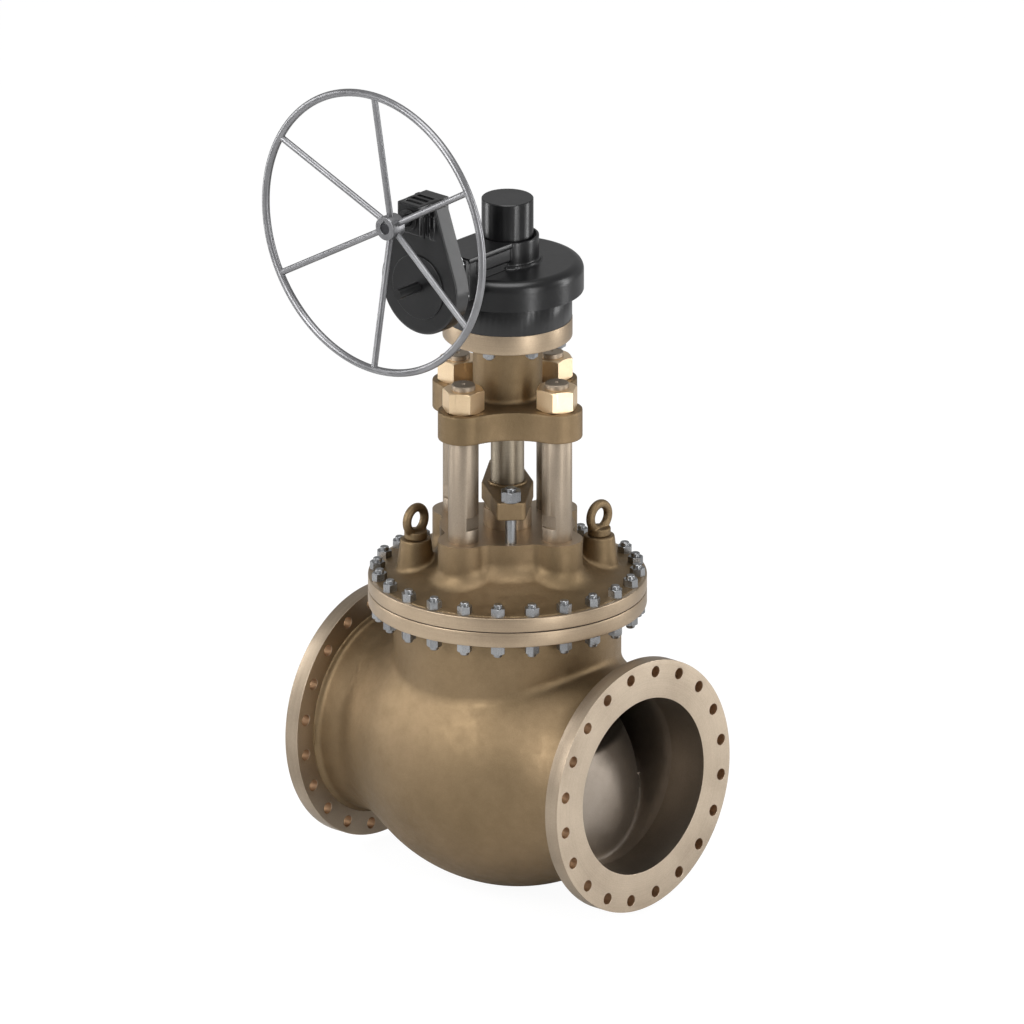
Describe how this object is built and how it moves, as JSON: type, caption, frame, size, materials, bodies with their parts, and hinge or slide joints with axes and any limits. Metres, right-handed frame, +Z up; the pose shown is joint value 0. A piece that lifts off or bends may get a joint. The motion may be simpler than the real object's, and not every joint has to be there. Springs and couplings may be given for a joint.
{
  "type": "flanged globe valve",
  "caption": "Flanged bronze globe valve with rising stem, pillar yoke, bevel gearbox and spur-geared handwheel that shuts off a sea-water line.",
  "frame": {"origin": "centre of the inlet flange face", "axes": "+X along the pipe from inlet to outlet, +Z up the stem, handwheel on the -Y side"},
  "size_m": [0.978, 0.9245, 2.381],
  "materials": {
    "cast_bronze": "fine sand-cast surface, olive brown",
    "machined_bronze": "turned and faced, matte",
    "bush_bronze": "smooth bored",
    "polished_bronze": "bright machined",
    "fastener_steel": "plated, dull",
    "stem_steel": "ground",
    "key_steel": "drawn bar",
    "gear_steel": "cut teeth, oiled",
    "bearing_steel": "ground",
    "gearbox_black": "black satin paint",
    "handwheel_grey": "smooth grey",
    "packing_black": "braided graphite"
  },
  "bodies": {
    "frame": {"body_casting": "cast_bronze", "body_neck": "cast_bronze", "seat_wall": "cast_bronze", "inlet_flange": "machined_bronze", "outlet_flange": "machined_bronze", "seat_ring": "machined_bronze", "bonnet_gasket": "packing_black", "bonnet": "cast_bronze", "bonnet_studs": "fastener_steel", "bonnet_nuts": "fastener_steel", "eye_bolt_front": "cast_bronze", "eye_bolt_back": "cast_bronze", "back_seat_bush": "bush_bronze", "packing_rings": "packing_black", "gland_bush": "machined_bronze", "gland_flange": "cast_bronze", "gland_studs": "fastener_steel", "gland_nuts": "fastener_steel", "pillar_front": "machined_bronze", "pillar_outlet": "machined_bronze", "pillar_back": "machined_bronze", "pillar_inlet": "machined_bronze", "pillar_nuts": "polished_bronze", "yoke_bridge": "cast_bronze", "stem_guide_bush": "bush_bronze", "gearbox_studs": "fastener_steel", "gearbox_stud_nuts": "fastener_steel", "gearbox_base": "gearbox_black", "gearbox_housing": "gearbox_black", "housing_screws": "fastener_steel", "thrust_bearings": "bearing_steel", "stem_cover": "gearbox_black", "spur_adapter": "gearbox_black", "spur_case": "gearbox_black", "spur_case_back": "gearbox_black", "case_screws": "fastener_steel", "bearing_cover": "gearbox_black", "shaft_bearings": "bearing_steel", "idler_pin": "stem_steel", "shaft_seal": "packing_black"},
    "stem": {"stem": "stem_steel", "stem_key": "key_steel"},
    "disc": {"disc": "machined_bronze", "disc_nut": "bush_bronze"},
    "sleeve": {"drive_sleeve": "stem_steel", "stem_nut": "bush_bronze", "crown_wheel": "gear_steel", "crown_key": "key_steel"},
    "pinion": {"pinion_shaft": "stem_steel", "bevel_pinion": "gear_steel", "spur_wheel": "gear_steel", "wheel_key": "key_steel"},
    "idler": {"idler_gear": "gear_steel", "idler_bush": "bush_bronze"},
    "handwheel": {"input_shaft": "stem_steel", "input_pinion": "gear_steel", "handwheel_hub": "handwheel_grey", "handwheel_spokes": "handwheel_grey", "handwheel_rim": "handwheel_grey", "handwheel_key": "key_steel"}
  },
  "joints": [
    {"name": "handwheel_turn", "type": "hinge", "parent": "frame", "child": "handwheel", "pos_m": [0.489, -0.45, 1.607], "axis": [0, -1, 0], "range_deg": [0, 48600]},
    {"name": "idler_turn", "type": "hinge", "parent": "frame", "child": "idler", "pos_m": [0.489, -0.333, 1.545], "axis": [0, -1, 0], "range_deg": [-45562.5, 0]},
    {"name": "pinion_turn", "type": "hinge", "parent": "frame", "child": "pinion", "pos_m": [0.489, -0.333, 1.405], "axis": [0, -1, 0], "range_deg": [0, 13500]},
    {"name": "sleeve_turn", "type": "hinge", "parent": "frame", "child": "sleeve", "pos_m": [0.489, 0, 1.34], "axis": [0, 0, 1], "range_deg": [0, 4500]},
    {"name": "stem_lift", "type": "slide", "parent": "frame", "child": "stem", "axis": [0, 0, 1], "range_m": [0, 0.125]},
    {"name": "disc_swivel", "type": "hinge", "parent": "stem", "child": "disc", "pos_m": [0.489, 0, 0.118], "axis": [0, 0, 1], "continuous": true}
  ],
  "couplings": [
    {"joint": "idler_turn", "follows": "handwheel_turn", "ratio": -0.9375},
    {"joint": "pinion_turn", "follows": "handwheel_turn", "ratio": 0.27778},
    {"joint": "sleeve_turn", "follows": "handwheel_turn", "ratio": 0.092593},
    {"joint": "stem_lift", "follows": "handwheel_turn", "m_per_rad": 0.00014737}
  ]
}
